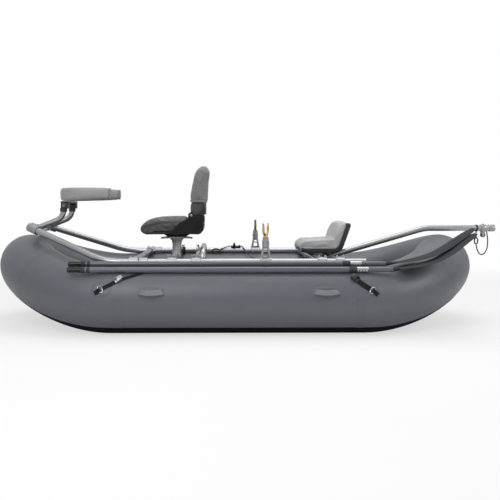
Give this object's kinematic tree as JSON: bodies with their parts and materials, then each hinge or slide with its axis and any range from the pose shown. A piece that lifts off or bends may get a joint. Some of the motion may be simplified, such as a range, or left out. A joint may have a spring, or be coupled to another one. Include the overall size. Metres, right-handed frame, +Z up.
{
  "type": "fishing raft",
  "caption": "Inflatable fishing raft with a tubular rowing frame, folding swivel seat, rower's seat, thigh brace, oarlocks, stowed oars and a stern anchor arm.",
  "frame": {"origin": "on the floor under the middle of the raft's overall box, at its bottom face's centre", "axes": "+X towards the stern, +Y towards starboard, +Z up; the bow and the thigh brace are at -X"},
  "size_m": [3.4, 1.5058, 1.055],
  "materials": {
    "hull": "coated fabric, satin",
    "floor": "coated fabric, matt",
    "pipe": "anodised satin",
    "cast": "cast, matt",
    "black_plastic": "moulded",
    "charcoal_vinyl": "padded vinyl",
    "grey_fabric": "padded cover",
    "light_vinyl": "padded vinyl",
    "steel": "stainless",
    "bronze": "cast bronze",
    "oar": "satin",
    "webbing": "woven",
    "rope": "braided"
  },
  "bodies": {
    "raft": {"anchor_arm": "pipe", "anchor_block": "cast", "anchor_drop": "rope", "anchor_line": "rope", "anchor_snap": "steel", "bow_bar": "cast", "brace_bracket": "black_plastic", "brace_pad": "grey_fabric", "brace_post_port": "pipe", "brace_post_starboard": "pipe", "crossbar_bow": "pipe", "crossbar_foot": "pipe", "crossbar_pedestal": "pipe", "crossbar_rear": "pipe", "crossbar_seat": "pipe", "floor_mattress": "floor", "foot_bar": "pipe", "handle_front_port": "webbing", "handle_front_starboard": "webbing", "handle_rear_port": "webbing", "handle_rear_starboard": "webbing", "line_cleat": "black_plastic", "line_pull": "rope", "oar_lower_blade": "oar", "oar_lower_shaft": "oar", "oar_tower_port": "pipe", "oar_tower_starboard": "pipe", "oar_upper_blade": "oar", "oar_upper_shaft": "oar", "pedestal": "pipe", "pedestal_knob": "black_plastic", "pull_ring": "black_plastic", "rail_port": "pipe", "rail_starboard": "pipe", "rower_seat_pad": "light_vinyl", "rower_seat_plate": "pipe", "rower_seat_shell": "black_plastic", "swivel_base": "steel", "tie_down_bow_port": "webbing", "tie_down_bow_starboard": "webbing", "tie_down_stern_port": "webbing", "tie_down_stern_starboard": "webbing", "tube_bow": "hull", "tube_port": "hull", "tube_starboard": "hull", "tube_stern": "hull"},
    "front_seat": {"swivel_top": "black_plastic", "seat_frame": "black_plastic", "front_seat_cushion": "charcoal_vinyl"},
    "front_seat_back": {"seat_back_frame": "black_plastic", "seat_back_lower": "charcoal_vinyl", "seat_back_cover": "grey_fabric"},
    "oarlock_port": {"oarlock_port": "bronze"},
    "oarlock_starboard": {"oarlock_starboard": "bronze"},
    "anchor_sheave": {"anchor_sheave": "black_plastic"}
  },
  "joints": [
    {"name": "front_seat_swivel", "type": "hinge", "parent": "raft", "child": "front_seat", "pos_m": [-0.502, 0, 0.58], "axis": [0, 0, 1], "continuous": true},
    {"name": "front_seat_fold", "type": "hinge", "parent": "front_seat", "child": "front_seat_back", "pos_m": [-0.396, 0, 0.713], "axis": [0, -1, 0], "range_deg": [0, 86]},
    {"name": "oarlock_port_swivel", "type": "hinge", "parent": "raft", "child": "oarlock_port", "pos_m": [0.071, -0.515, 0.6], "axis": [0, 0, 1], "continuous": true},
    {"name": "oarlock_starboard_swivel", "type": "hinge", "parent": "raft", "child": "oarlock_starboard", "pos_m": [0.071, 0.515, 0.6], "axis": [0, 0, 1], "continuous": true},
    {"name": "anchor_sheave_spin", "type": "hinge", "parent": "raft", "child": "anchor_sheave", "pos_m": [1.618, 0, 0.575], "axis": [0, 1, 0], "continuous": true}
  ]
}
